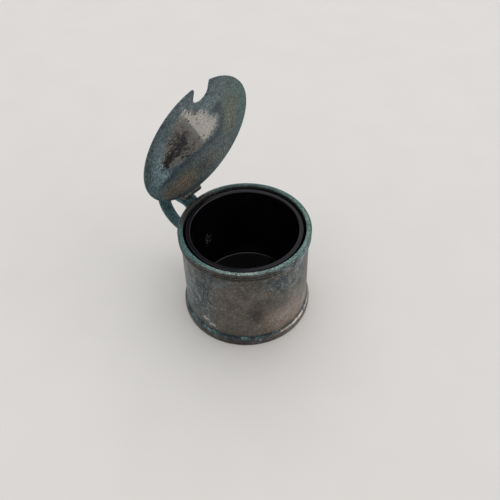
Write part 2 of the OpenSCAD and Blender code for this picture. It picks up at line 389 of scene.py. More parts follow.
def apart(first: Array, second: Array, path: Array) -> Array:
    """Measures how far points lie from a path: the least distance to any of its straight stretches.

    On each stretch the nearest place is the point's own shadow on it, held between the two ends.

    Args:
        first: the points' first coordinate.
        second: their second coordinate.
        path: the path's corners.

    Returns:
        The distances.
    """
    points = np.stack([first, second], axis=-1)[..., None, :]
    start, stretch = path[:-1], np.diff(path, axis=0)
    share = ((points - start) * stretch).sum(axis=-1) / (stretch**2).sum(axis=-1)
    nearest = start + np.clip(share, 0, 1)[..., None] * stretch
    return np.linalg.norm(points - nearest, axis=-1).min(axis=-1)


def streak(first: Array, second: Array, path: Path, reach: float, strength: float) -> Array:
    """Gives a soft band along a path, by the distance from the path."""
    return strength * bell(apart(first, second, np.array(path, float)), 0, reach)


def blot(first: Array, second: Array, corners: Path, soft: float) -> Array:
    """Gives a drawn patch, 0 to 1 by the distance from its outline, which counts as negative outside.

    A point lies inside where an odd number of the outline's sides cross the way out along the first
    direction.

    Args:
        first: the points' first coordinate.
        second: their second coordinate.
        corners: the outline's corners, in order.
        soft: how far the patch fades to both sides of its outline.

    Returns:
        The patch at each point.
    """
    outline = np.array([*corners, corners[0]], float)
    (low, across), (high, up) = outline[:-1].T, outline[1:].T
    here, level = first[..., None], second[..., None]
    spans = (across > level) != (up > level)
    rise = np.where(up == across, 1.0, up - across)
    crossed = spans & (here < low + (level - across) / rise * (high - low))
    depth = apart(first, second, outline) * (2 * (crossed.sum(axis=-1) % 2) - 1)
    return np.clip(0.5 + depth / (2 * soft), 0, 1)


def paint(mesh: bpy.types.Mesh, mask: Mask, values: Array) -> None:
    """Writes a layer's mask on a mesh, one value for each point."""
    layer = mesh.attributes.new(mask.value, "FLOAT", "POINT")
    layer.data.foreach_set("value", values.astype(np.float32).reshape(-1))


def placed(name: str, data: bpy.types.ID) -> bpy.types.Object:
    """Puts an object into the scene.

    Args:
        name: its name.
        data: its mesh, lamp or camera.

    Returns:
        The object.
    """
    item = bpy.data.objects.new(name, data)
    bpy.context.scene.collection.objects.link(item)
    return item


class Shader:
    """A material's node tree, with short calls for the nodes that the finishes share."""

    def __init__(self, name: str) -> None:
        """Starts an empty material that reads Object coordinates.

        Args:
            name: the material's name.
        """
        self.material = bpy.data.materials.new(name)
        self.material.use_nodes = True
        self.tree = self.material.node_tree
        self.tree.nodes.clear()
        self.place = self.add("ShaderNodeTexCoord").outputs["Object"]

    def add(
        self, kind: str, inputs: dict[str | int, Value] | None = None, **settings: object
    ) -> bpy.types.Node:
        """Adds a node.

        Args:
            kind: the node's type.
            inputs: what its inputs are linked to or set to.
            settings: its properties.

        Returns:
            The node.
        """
        node = self.tree.nodes.new(kind)
        for key, value in settings.items():
            setattr(node, key, value)
        for key, source in (inputs or {}).items():
            if isinstance(source, Socket):
                self.tree.links.new(source, node.inputs[key])
            else:
                node.inputs[key].default_value = source
        return node

    def math(self, way: Sum, first: Value, second: Value) -> Socket:
        """Works out a sum, product or the like of two values."""
        return self.add("ShaderNodeMath", {0: first, 1: second}, operation=way.value).outputs[0]

    def step(
        self, value: Socket, low: float = 0.3, high: float = 0.7, start: float = 0.0, end: float = 1.0
    ) -> Socket:
        """Eases from start to end as a value rises from low to high."""
        inputs = {"Value": value, "From Min": low, "From Max": high, "To Min": start, "To Max": end}
        return self.add("ShaderNodeMapRange", inputs, interpolation_type="SMOOTHSTEP").outputs["Result"]

    def mix(self, share: Value, first: Value, second: Value, kind: Kind = Kind.COLOUR) -> Socket:
        """Mixes two colours or two numbers.

        Args:
            share: how much of the second one shows.
            first: the first one.
            second: the second one.
            kind: what they are, and how the second one is laid over the first.

        Returns:
            The mixed one.
        """
        data_type, blend_type, entry, result = kind.value
        inputs = {"Factor": share, entry: first, entry + 1: second}
        node = self.add("ShaderNodeMix", inputs, data_type=data_type, blend_type=blend_type)
        return node.outputs[result]

    def blend(self, share: Value, first: Value, second: Value) -> Socket:
        """Mixes two numbers."""
        return self.mix(share, first, second, Kind.NUMBER)

    def shades(self, share: Socket, codes: tuple[str, str]) -> Socket:
        """Mixes a darker and a lighter screen colour."""
        return self.mix(share, linear(codes[0]), linear(codes[1]))

    def noise(
        self, size: float, detail: float = 3.0, drawn: Sequence[float] = (1, 1, 1), lean: float = 0.0
    ) -> Socket:
        """Adds an uneven field about 0.5.

        Args:
            size: the typical width of a spot.
            detail: how many finer octaves it has.
            drawn: how much the spots are drawn out along X, Y and Z.
            lean: how far the spots' Z leans over towards the handle's side, in degrees.

        Returns:
            The field.
        """
        inputs = {"Vector": self.place, "Scale": [size * MM * share for share in drawn]}
        mapping = self.add("ShaderNodeMapping", inputs, vector_type="TEXTURE")
        if lean:
            mapping.inputs["Rotation"].default_value = (0, math.radians(lean), math.radians(LEAN_WAY))
        inputs = {"Vector": mapping.outputs["Vector"], "Scale": 1.0, "Detail": detail, "Roughness": 0.6}
        return self.add("ShaderNodeTexNoise", inputs).outputs["Fac"]

    def mask(self, mask: Mask) -> Socket:
        """Reads a layer's point attribute."""
        return self.add("ShaderNodeAttribute", attribute_name=mask.value).outputs["Fac"]

    def bump(self, height: Socket, distance: float, strength: float) -> Socket:
        """Turns a height field, of which a share shows, into a normal. The distance is in millimetres."""
        inputs = {"Strength": strength, "Distance": distance * MM, "Height": height}
        return self.add("ShaderNodeBump", inputs).outputs["Normal"]

    def surface(self, **inputs: Value) -> bpy.types.Material:
        """Ends the tree in one principled surface.

        Args:
            inputs: the surface's inputs, with _ for a space.

        Returns:
            The finished material.
        """
        named = {name.replace("_", " "): source for name, source in inputs.items()}
        node = self.add("ShaderNodeBsdfPrincipled", named)
        self.add("ShaderNodeOutputMaterial", {"Surface": node.outputs["BSDF"]})
        return self.material


@dataclass(frozen=True)
class Look:
    """How a surface looks so far."""

    colour: Socket
    metal: Value
    rough: Value
    height: Socket  # The relief that its bump is made from.
    speckle: Value  # How much of the plate's fine speckle it shows.


@dataclass(frozen=True)
class Layer:
    """One tarnish or wear layer of a plate; a few also carry painted highlights, a painted sheen and a
    painted reflection.
    """

    mask: Mask  # The point attribute that says where it lies.
    colours: tuple[str, str]  # Its darker and its lighter colour.
    metal: float
    rough: float
    grain: float  # The size of the spots that break its edge.
    ragged: float = 1.6  # How far those spots push its edge.
    soft: float = 0.2  # How far its edge fades to both sides.
    drawn: tuple[float, float, float] = (1, 1, 1)  # How much the spots are drawn out along X, Y and Z.
    lean: float = 0.0  # How far the spots lean over, in degrees.
    raised: float = 0.0  # How far it stands above the plate, as a share of the bump's depth.
    speckle: float = 1.0  # How much of the plate's fine speckle it shows.
    relief: float = 1.0  # How much of the relief below it shows through it.
    shade: float = 0.7  # The size of its shades, in units of the grain.
    detail: float = 5.0  # How many finer octaves its spots and shades have.

    def over(self, shader: Shader, look: Look) -> Look:
        """Lays the layer over a look: it shows where its mask, pushed by its spots, passes one half.

        Args:
            shader: the material's node tree.
            look: the look under it.

        Returns:
            The look with the layer.
        """
        spots, shade = (
            shader.noise(self.grain * size, self.detail, self.drawn, self.lean) for size in (1, self.shade)
        )
        push = shader.math(Sum.TIMES, shader.math(Sum.MINUS, spots, 0.5), self.ragged)
        where = shader.math(Sum.PLUS, shader.mask(self.mask), push)
        cover = shader.step(where, 0.5 - self.soft, 0.5 + self.soft)
        height = shader.math(Sum.TIMES, look.height, shader.blend(cover, 1.0, self.relief))
        return Look(
            shader.mix(cover, look.colour, shader.shades(shader.step(shade), self.colours)),
            shader.blend(cover, look.metal, self.metal),
            shader.blend(cover, look.rough, self.rough),
            shader.math(Sum.PLUS, height, shader.math(Sum.TIMES, cover, self.raised)),
            shader.blend(cover, look.speckle, self.speckle),
        )


@dataclass(frozen=True)
class PlateFinish:
    """Worn, tarnished plate: a ground with layers of tarnish, wear and verdigris over it, some with painted
    highlights and a painted reflection.
    """

    name: str
    colours: tuple[str, str]  # The ground's darker and lighter colour.
    metal: float  # How metallic the ground is.
    rough: float
    layers: tuple[Layer, ...]  # What lies over it, in order.
    cloud: float = 5.0  # The size of the ground's soft clouds.
    grain: float = 0.5  # The size of the fine grain of the whole surface.
    depth: float = 0.02  # How deep the grain goes.
    uneven: float = 0.04  # How far it changes the roughness.
    speck: float = 0.8  # The size of the fine light and dark specks of the whole surface.
    speckle: float = 0.4  # How much lighter and darker than the rest they are, as a share.
    smoothest: float = 0.03  # The least roughness of the whole.

    def material(self) -> bpy.types.Material:
        """Builds the node tree, layer over layer.

        Returns:
            The material.
        """
        shader = Shader(self.name)
        clouds = shader.step(shader.noise(self.cloud, detail=6.0))
        fine = shader.noise(self.grain, detail=4.0)
        look = Look(shader.shades(clouds, self.colours), self.metal, self.rough, fine, 1.0)
        for layer in self.layers:
            look = layer.over(shader, look)
        uneven = shader.step(fine, start=-self.uneven, end=self.uneven)
        specks = shader.step(shader.noise(self.speck, detail=2.0), start=-self.speckle, end=self.speckle)
        lighter = shader.math(Sum.PLUS, shader.math(Sum.TIMES, specks, look.speckle), 1.0)
        return shader.surface(
            Base_Color=shader.mix(1.0, look.colour, lighter, Kind.PRODUCT),
            Metallic=look.metal,
            Roughness=shader.math(Sum.LARGER, shader.math(Sum.PLUS, look.rough, uneven), self.smoothest),
            Normal=shader.bump(look.height, self.depth, 1.0),
        )


@dataclass(frozen=True)
class GlassFinish:
    """Glass so dark that it looks black, duller round its lip and with a few specks of residue."""

    name: str
    colours: tuple[str, str]  # The glass and its rubbed lip.
    residue: str  # The colour of the specks.
    # The roughness of the glass, of its lip and of the specks.
    rough: tuple[float, float, float] = (0.06, 0.2, 0.6)
    bend: float = 1.5  # Its refractive index.
    gloss: tuple[float, float] = (0.5, 0.15)  # The specular level of the glass and of its lip.
    smear: tuple[float, float] = (5.0, 0.1)  # The size of its smears, and how much rougher they are.
    speck: float = 0.6  # The size of the specks.
    gather: float = 0.26  # How much more of them their mask brings.
    mark: tuple[float, float] = (0.76, 0.86)  # The levels of their spots at which they begin and are full.
    # The size, the depth and the share of the surface's soft waves.
    wave: tuple[float, float, float] = (9.0, 0.05, 0.3)

    def material(self) -> bpy.types.Material:
        """Builds the node tree: dark glass, its rubbed lip, and specks where fine spots pass a high mark.

        Returns:
            The material.
        """
        shader = Shader(self.name)
        glass, lip, residue = self.rough
        rubbed = shader.mask(Mask.PALE)
        gathered = shader.math(Sum.TIMES, shader.mask(Mask.BARE), self.gather)
        cover = shader.step(shader.math(Sum.PLUS, shader.noise(self.speck), gathered), *self.mark)
        smears = shader.noise(self.smear[0], detail=4.0)
        smear = shader.step(smears, high=0.8, start=glass, end=glass + self.smear[1])
        return shader.surface(
            Base_Color=shader.mix(cover, shader.shades(rubbed, self.colours), linear(self.residue)),
            Roughness=shader.blend(cover, shader.blend(rubbed, smear, lip), residue),
            IOR=self.bend,
            Specular_IOR_Level=shader.blend(rubbed, *self.gloss),
            Normal=shader.bump(shader.noise(self.wave[0], detail=2.0), *self.wave[1:]),
        )


@dataclass
class Shell:
    """One piece's surface: a grid of points whose rows close into rings."""

    points: Array  # Rows of points.
    masks: Masks  # The layers' values at the points.
    loop: bool = False  # Whether the last row is joined to the first.
    caps: bool = False  # Whether the first and last rows are closed by a flat face each.

    def faces(self) -> list[list[int]]:
        """Joins two neighbouring points of each row with the two above them.

        Returns:
            The corners of each face.
        """
        lower = np.arange(self.points[..., 0].size).reshape(self.points.shape[:2])
        upper = np.roll(lower, -1, axis=0)
        corners = np.stack([lower, np.roll(lower, -1, axis=1), np.roll(upper, -1, axis=1), upper], axis=-1)
        faces = corners[: None if self.loop else -1].reshape(-1, 4).tolist()
        return faces + [lower[0, ::-1].tolist(), lower[-1].tolist()] if self.caps else faces

    def turn(self, pivot: Array, degrees: float) -> None:
        """Turns all points about an axis along Y: the lid's way from shut to open.

        From the axis, (x, z) becomes (x * cos t - z * sin t, x * sin t + z * cos t).

        Args:
            pivot: x and z of the axis.
            degrees: the angle, positive from Z towards -X.
        """
        turn = math.radians(degrees)
        across, up = self.points[..., 0] - pivot[0], self.points[..., 2] - pivot[1]
        self.points[..., 0] = pivot[0] + across * math.cos(turn) - up * math.sin(turn)
        self.points[..., 2] = pivot[1] + across * math.sin(turn) + up * math.cos(turn)

    def build(self, node: str, finish: bpy.types.Material, slot: Slot, body: Body = Body.POT) -> None:
        """Makes the mesh object, dresses it and lets it stand for its node.

        Args:
            node: the node that it stands for.
            finish: the material.
            slot: the record's slot that the finish belongs to; not used.
            body: the body that the piece rides on.
        """
        name = f"{node}_dressed"
        mesh = bpy.data.meshes.new(name)
        mesh.from_pydata(self.points.reshape(-1, 3) * MM, [], self.faces())
        for mask, values in self.masks.items():
            paint(mesh, mask, values)
        work = bmesh.new()
        work.from_mesh(mesh)
        bmesh.ops.remove_doubles(work, verts=work.verts, dist=MERGE)
        work.to_mesh(mesh)
        work.free()
        mesh.polygons.foreach_set("use_smooth", np.ones(len(mesh.polygons), bool))
        mesh.materials.append(finish)
        piece = placed(name, mesh)
        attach(piece, body.value)
        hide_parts(node)
        log.info("%s: %d faces on %s", name, len(mesh.polygons), body.value)


class Palette:
    """The finishes of the pot, made once and shared by its pieces."""

    def __init__(self) -> None:
        """Makes the materials from their layers."""
        streaks = {"drawn": (1, 1, 2.2), "lean": 50.0}
        chalky = {"ragged": 2.4, "raised": 0.5}
        even = {"ragged": 1.2, "soft": 0.5}
        green = Layer(Mask.GREEN, ("1b3a3e", "56827f"), 0.0, 0.8, 0.6, soft=0.3, raised=0.8)
        crust = Layer(Mask.PALE, ("6c8482", "a9b8b2"), 0.0, 0.8, 0.6, **chalky)
        chalk = Layer(Mask.PALE, ("8a9896", "ced5d1"), 0.0, 0.8, 0.6, drawn=(1, 1, 1.8), lean=50.0, **chalky)
        blue = Layer(Mask.BLUE, ("3d4a50", "838f91"), 0.5, 0.5, 2.6, ragged=2.0, soft=0.35, **streaks)
        navy = Layer(Mask.SLATE, ("1b2429", "35424a"), 0.4, 0.5, 2.4, ragged=2.2, soft=0.3, **streaks)
        # Coppery tone, lighter at the wall's lower right as a painted sheen.
        warm = Layer(Mask.WARM, ("887a70", "a7978b"), 1.0, 0.36, 6.0, ragged=0.8, soft=0.7)
        dark = Layer(Mask.DARK, ("2f2a28", "403a37"), 0.7, 0.45, 2.0, ragged=1.0, soft=0.5)
        gold = Layer(Mask.GOLD, ("7b7361", "a89f88"), 0.6, 0.5, 0.7, ragged=2.2, soft=0.12)
        # Rubbed metal; on the wall's right and the foot's shoulder it is a painted highlight.
        bright = Layer(Mask.BARE, ("8d8781", "cbc5bd"), 1.0, 0.28, 0.9, soft=0.4)
        moss = Layer(Mask.OLIVE, ("173029", "47705f"), 0.0, 0.8, 0.9, ragged=2.2, soft=0.25, raised=0.8)
        grime = Layer(Mask.DARK, ("17191a", "2b3030"), 0.1, 0.6, 0.8, soft=0.3)
        # Near-black in the reeds' valleys: tarnish deepened with painted shade.
        valley = Layer(Mask.SLATE, ("1f1d1b", "2b2826"), 0.3, 0.6, 1.0, ragged=0.6, soft=0.3)
        film = Layer(Mask.BLUE, ("3a454a", "77827f"), 0.5, 0.5, 0.8, ragged=1.8, soft=0.3)
        rubbed = Layer(Mask.BARE, ("77716a", "a39b92"), 1.0, 0.32, 0.9, ragged=1.0, soft=0.5)
        pale = Layer(Mask.BLUE, ("5c7078", "839aa1"), 0.3, 0.5, 0.9, ragged=1.1, soft=0.5)
        teal = Layer(Mask.GREEN, ("24413f", "547a74"), 0.1, 0.6, 0.6, **even)
        olive = Layer(Mask.OLIVE, ("3a443d", "6c7568"), 0.3, 0.5, 0.6, **even)
        brown = Layer(Mask.WARM, ("4b453c", "7d7565"), 0.3, 0.5, 0.6, **even)
        ochre = Layer(Mask.GOLD, ("7b745e", "aea68c"), 0.5, 0.5, 0.6, ragged=2.4, soft=0.12)
        # Polished plate whose pale colours are a painted reflection.
        polish_and_painted_reflection = Layer(
            Mask.BARE, ("9b9792", "bdb8b1"), 0.63, 0.05, 0.9,
            ragged=2.2, soft=0.25, drawn=(1, 1, 2.0), speckle=0.3, relief=0.2,
        )
        smear = Layer(
            Mask.DARK, ("0e0d10", "1f1c20"), 0.2, 0.5, 0.9, ragged=3.2, soft=0.13, drawn=(1, 2.0, 1)
        )
        slate = Layer(Mask.SLATE, ("232d38", "38444f"), 0.3, 0.45, 1.0, ragged=1.2, soft=0.4)
        on_wall = (warm, dark, blue, gold, bright, navy, green, chalk)
        on_rim = (blue, valley, green, moss, grime, crust)
        on_strap = (green, grime, crust)
        on_hinge = (film, green, grime, rubbed)
        on_lid = (pale, olive, brown, teal, ochre, polish_and_painted_reflection, smear, slate, crust)
        finishes = (
            PlateFinish("worn_wall", ("54514b", "66625b"), 1.0, 0.42, on_wall, speckle=0.24),
            PlateFinish("green_rim", ("45403b", "5a544e"), 1.0, 0.42, on_rim),
            PlateFinish("green_strap", ("17353c", "305a63"), 0.3, 0.55, on_strap, speck=1.1, speckle=0.5),
            PlateFinish("worn_hinge", ("38332f", "544d47"), 1.0, 0.42, on_hinge, cloud=2.5, speckle=0.3),
            PlateFinish("lid_plate", ("3d4b4f", "5e6e72"), 0.4, 0.5, on_lid, cloud=3.0, speckle=0.58),
            GlassFinish("dark_glass", ("08080b", "15131b"), "8f9698"),
        )
        made = (finish.material() for finish in finishes)
        self.wall, self.rim, self.strap, self.hinge, self.lid, self.glass = made


@dataclass
class Drum:
    """The drum: its wall, reeded rim, foot and base plate."""

    wall_t: float = 0.9  # Thickness of the wall.
    dent: float = 0.05  # Depth of its shallow dents.
    rim_w: float = 2.4  # Width of the rim's ring.
    rim_proud: float = 1.05  # How far the rim stands out from the wall.
    rim_round: float = 0.45  # Radius of the rim's upper inner edge.
    reed_n: int = 3  # Number of reeds.
    foot_round: float = 1.8  # Radius of the foot's shoulder.
    sole_round: float = 0.4  # Radius of the edge that it stands on.
    ledge_w: float = 1.2  # Width of the ledge under the base plate.
    edge: float = 0.2  # Radius of worn edges.
    front: float = -47.7  # Angle round Z at which the drum faces the camera.
    steps: int = 320  # Points round the drum.
    base_steps: int = 160  # Points round the base plate.

    def __post_init__(self) -> None:
        """Reads the drum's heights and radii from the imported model."""
        (_, _, self.rim_z), (self.rim_r, _, self.top_z) = packed_box("rim_moulding")
        _, (self.foot_r, _, self.foot_z) = packed_box("foot_moulding")
        (_, _, self.floor_z), (self.floor_r, _, self.floor_top) = packed_box("base_plate")
        self.wall_low_r = packed_box("drum_wall")[1, 0]
        self.wall_high_r = self.rim_r - self.rim_proud

    def wall(self) -> Shell:
        """Turns the wall's thin upright strip, with shallow dents that fade towards its ends.

        A dent changes the radius by depth * sin(pi * s) * an uneven field, s being the share of the wall's
        height. The tarnish is the table's ovals, with verdigris and white crust in the crease over the
        foot, and with a painted highlight and a painted sheen on the right.

        Returns:
            The wall.
        """
        ends = ((self.wall_low_r, self.foot_z), (self.wall_high_r, self.rim_z))
        (low_r, low_z), (high_r, high_z) = ends
        corners = ((low_r - self.wall_t, low_z), *ends, (high_r - self.wall_t, high_z))
        profile = rounded([(*corner, self.edge) for corner in corners], 3)
        points = lathe(filled(profile, 0.5), self.steps)
        angle, height = polar(points, self.front)
        above = height - low_z
        fade = np.sin(np.pi * np.clip(above / (high_z - low_z), 0, 1))
        dent = self.dent * fade * ripple(angle, height, 40.0, 3)
        points[..., :2] *= 1 + (dent / np.linalg.norm(points[..., :2], axis=2))[..., None]
        crusted = 0.5 + 0.4 * ripple(angle, height, 8.0, 5) + 0.35 * ripple(angle, height, 21.0, 8)
        right = bell(angle, 62, 30)
        white = 0.25 + 0.35 * bell(angle, 0, 85)
        masks = stained(WALL_STAINS, angle, height)
        masks[Mask.SLATE] += 1.2 * bell(above, 0, 1.5) * bell(angle, -30, 65)
        masks[Mask.SLATE] += 0.9 * bell(above, 0, 0.7) * right
        masks[Mask.GREEN] = bell(above, 0, 0.9) * crusted * (1 - 0.8 * right)
        masks[Mask.GREEN] += bell(height, high_z, 0.7) * (0.3 + 0.25 * ripple(angle, height, 30.0, 6))
        masks[Mask.BLUE] += 0.12 * ripple(angle, height, 60.0, 7)
        masks[Mask.PALE] += 0.06 + white * bell(above, 0.3, 0.7) * (crusted - 0.25)
        return Shell(points, masks, loop=True)

    def rim(self) -> Shell:
        """Turns the rim: a flat top and a row of half-round reeds, each centre plus radius * (cos t, sin t).

        Returns:
            The rim.
        """
        reed_r = (self.top_z - self.rim_z) / (2 * self.reed_n)
        inner_r = self.rim_r - self.rim_w
        middles = self.rim_z + reed_r * (1 + 2 * np.arange(self.reed_n))
        reeds = [arc((self.rim_r - reed_r, middle), reed_r, -90, 90, 13) for middle in middles]
        inner_top = arc((inner_r + self.rim_round, self.top_z - self.rim_round), self.rim_round, 90, 180, 7)
        inner_foot = arc((inner_r + self.edge, self.rim_z + self.edge), self.edge, 180, 270, 4)
        points = lathe(filled(np.concatenate([*reeds, inner_top, inner_foot]), 0.4), self.steps)
        angle, height = polar(points, self.front)
        inward = self.rim_r - np.linalg.norm(points[..., :2], axis=2)
        patchy = ripple(angle, height * 4, 22.0, 11)
        back, left, front, right = (
            bell(angle, *spot) for spot in ((-118, 34), (-70, 25), (-6, 36), (58, 30))
        )
        moss, far = bell(angle, 95, 45), bell(np.abs(angle), 180, 55)
        shown = 1 - 0.8 * back
        top = ramp(height - self.top_z, -0.6, 0.5)
        valley = ramp(inward, 0, reed_r) * (1 - top)
        inner = top * ramp(inward, 0.35, 0.5)
        within = top * ramp(inward, 1.0, 0.6)
        crust = 0.15 + 0.4 * front + 0.06 * patchy - 0.1 * back + 0.1 * right + 0.2 * moss * (1 - far)
        # The reeds' valleys get dark tarnish with painted shade, less of it on the right.
        groove_tarnish_and_shade = np.clip(2 * valley, 0, 1) * (1 - 0.6 * right)
        masks = {
            Mask.GREEN: (0.1 + 0.5 * inner + 0.4 * top * (1 - front) + 0.08 * patchy + 0.3 * left) * shown,
            Mask.BLUE: (0.3 + 0.2 * patchy) * (1 - front) * shown + 0.5 * right * (1 - valley),
            Mask.SLATE: groove_tarnish_and_shade + 0.42 * (1 - inner) * front + 0.1 * back,
            Mask.DARK: within * (0.75 * far + 0.6 * back),
            Mask.OLIVE: (0.2 + 0.45 * moss) * top * shown,
            Mask.PALE: inner * crust + 0.08,
        }
        return Shell(points, masks, loop=True)

    def foot(self) -> Shell:
        """Turns the foot: an upright band with a round shoulder, and the ledge for the base plate.

        The shoulder is an arc of radius R that ends at the wall's foot, so its centre lies
        sqrt(R * R - d * d) lower, d being how much nearer to the axis the centre is than the wall.

        Returns:
            The foot.
        """
        shoulder_r = self.foot_r - self.foot_round
        drop = math.sqrt(self.foot_round**2 - (self.wall_low_r - shoulder_r) ** 2)
        lean = math.degrees(math.atan2(drop, self.wall_low_r - shoulder_r))
        shoulder = arc((shoulder_r, self.foot_z - drop), self.foot_round, 0, lean, 12)
        sole = arc((self.foot_r - self.sole_round, self.sole_round), self.sole_round, -90, 0, 6)
        seat, ledge_r = (self.floor_r, self.floor_z), self.floor_r - self.ledge_w
        inside = [(self.floor_r, self.foot_z), seat, (ledge_r, self.floor_z), (ledge_r, 0)]
        points = lathe(filled(np.concatenate([sole, shoulder, inside]), 0.5), self.steps)
        angle, height = polar(points, self.front)
        above = height - self.foot_z
        crease = ramp(above, -1.0, 1.0)
        patchy = ripple(angle, height, 24.0, 15)
        crusted = 0.7 * ripple(angle, height, 8.0, 5) + 0.6 * ripple(angle, height, 21.0, 8)
        right = bell(angle, 62, 30)
        masks = {
            Mask.GREEN: crease * (0.5 + 0.2 * patchy + 0.35 * crusted) * (1 - 0.9 * right) + 0.08,
            Mask.SLATE: 1.1 * crease * bell(angle, -30, 65) + 0.12,
            Mask.PALE: 0.45 * crease * (0.3 + 0.4 * crusted) * (1 - 0.8 * right) + 0.06,
            # A painted highlight along the shoulder on the right.
            Mask.BARE: 1.2 * bell(above, -0.45, 0.22) * right,
            Mask.WARM: 0.5 * bell(angle, 45, 30),
            Mask.BLUE: 0.15 + 0.15 * patchy,
            Mask.DARK: 0.8 * bell(angle, -5, 45),
        }
        return Shell(points, masks, loop=True)

    def base(self) -> Shell:
        """Turns the base plate: a disc whose edge is two quarter circles with a straight side between.

        Returns:
            The base plate.
        """
        flat_r = self.floor_r - self.edge
        bottom = arc((flat_r, self.floor_z + self.edge), self.edge, -90, 0, 4)
        upper = arc((flat_r, self.floor_top - self.edge), self.edge, 0, 90, 4)
        outline = np.concatenate([[(0.0, self.floor_z)], bottom, upper, [(0.0, self.floor_top)]])
        points = lathe(filled(outline, 1.5, closed=False), self.base_steps)
        patchy = ripple(points[..., 0], points[..., 1], 18.0, 17)
        return Shell(points, {Mask.BLUE: 0.35 + 0.3 * patchy, Mask.GREEN: 0.2 - 0.3 * patchy})

    def build(self, palette: Palette) -> None:
        """Makes the drum's pieces.

        Args:
            palette: the finishes.
        """
        self.wall().build("drum_wall", palette.wall, Slot.WORN)
        self.rim().build("rim_moulding", palette.rim, Slot.GREEN)
        self.foot().build("foot_moulding", palette.wall, Slot.WORN)
        self.base().build("base_plate", palette.wall, Slot.WORN)


@dataclass
class Liner:
    """The loose glass liner."""

    wall_t: float = 2.1  # Thickness of the glass wall.
    base_t: float = 4.0  # Thickness of the glass base.
    taper: float = 1.3  # How much narrower the liner is at its base.
    edge: float = 0.5  # Radius of the flat lip's rounded edges.
    heel: float = 2.0  # Radius of the outer heel.
    corner: float = 0.8  # Radius of the inner corner between floor and wall.
    # The oval of specks on it: angle from the handle, height, half lengths, strength.
    residue: tuple[float, ...] = (2, 25, 9, 5, 1)
    steps: int = 256  # Points round the liner.
    turns: int = 10  # Points on each of its profile's round corners.

    def build(self, palette: Palette) -> None:
        """Turns the liner's profile, out along its base, up its side, over its lip and down its inside.

        The profile is straight between its corners, and each corner off the axis is an arc.

        Args:
            palette: the finishes.
        """
        (_, _, low_z), (lip_r, _, high_z) = packed_box("glass_liner")
        base_r, floor_z = lip_r - self.taper, low_z + self.base_t
        ends = [(0.0, low_z), (0.0, floor_z)]
        # The arcs of the two corners on the axis are cut off again, so their radius is of no account.
        corners = [
            (*ends[0], 0.01),
            (base_r, low_z, self.heel),
            (lip_r, high_z, self.edge),
            (lip_r - self.wall_t, high_z, self.edge),
            (base_r - self.wall_t, floor_z, self.corner),
            (*ends[1], 0.01),
        ]
        turned = rounded(corners, self.turns)[self.turns : -self.turns]
        outline = np.concatenate([ends[:1], turned, ends[1:]])
        points = lathe(filled(outline, 1.0, closed=False), self.steps)
        angle, height = polar(points, 180.0)
        rubbed = np.clip((height - high_z) / (0.2 * self.edge) + 1, 0, 1)
        shell = Shell(points, {Mask.BARE: oval(angle, height, self.residue), Mask.PALE: rubbed})
        shell.build("glass_liner", palette.glass, Slot.GLASS, Body.LINER)


@dataclass
class Hinge:
    """The hinge: its axis, the pin, the lower knuckles' bracket and the lid's knuckles."""

    pin_d: float = 1.4  # Diameter of the pin.
    head_h: float = 0.45  # Height of its domed heads.
    steps: int = 32  # Points round it.
    knuckle_edge: float = 0.12  # Radius of the knuckles' worn edges.
    crisp: float = 40.0  # The angle, in degrees, from which an edge counts as one.

    def __post_init__(self) -> None:
        """Reads the hinge's axis and the pin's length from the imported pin."""
        low, high = packed_box("hinge_pin")
        self.axis = (low + high)[[0, 2]] / 2
        self.pin_half = high[1]
        self.head_r = (high[2] - low[2]) / 2

    def pin(self) -> Shell:
        """Turns the pin about the hinge's axis: a rod with two domed heads.

        A head's outline is a quarter oval: its radius * cos t, its height * sin t.

        Returns:
            The pin.
        """
        end = self.pin_half - self.head_h
        dome = arc((0, 0), 1.0, 0, 90, 7) * (self.head_r, self.head_h)
        half = np.concatenate([[(self.pin_d / 2, 0.0), (self.pin_d / 2, end)], dome + (0, end)])
        turned = lathe(np.concatenate([(half * (1, -1))[::-1], half[1:]]), self.steps)
        points = turned[..., [1, 2, 0]] + (self.axis[0], 0, self.axis[1])
        return Shell(points, {Mask.BLUE: np.full(points.shape[:2], 0.3)})

    def soften(self, node: bpy.types.Object, finish: bpy.types.Material) -> None:
        """Dresses a packed knuckle piece: welded, with small worn edges and its own finish.

        Args:
            node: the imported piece.
            finish: the material.
        """
        weld = node.modifiers.new("weld", "WELD")
        weld.merge_threshold = WELD
        bevel = node.modifiers.new("worn_edges", "BEVEL")
        bevel.width = self.knuckle_edge * MM
        bevel.segments = 2
        bevel.limit_method = "ANGLE"
        bevel.angle_limit = math.radians(self.crisp)
        for mask, value in ((Mask.BLUE, 0.3), (Mask.GREEN, 0.25), (Mask.DARK, 0.25), (Mask.BARE, 0.1)):
            paint(node.data, mask, np.full(len(node.data.vertices), value))
        node.data.materials.clear()
        node.data.materials.append(finish)
        log.info("%s: dressed as packed", node.name)

    def build(self, palette: Palette, nodes: dict[str, bpy.types.Object]) -> None:
        """Makes the pin and dresses the knuckle pieces.

        Args:
            palette: the finishes.
            nodes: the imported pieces.
        """
        self.pin().build("hinge_pin", palette.hinge, Slot.WORN)
        for node in ("hinge_bracket", "lid_hinge_leaf"):
            self.soften(nodes[node], palette.hinge)


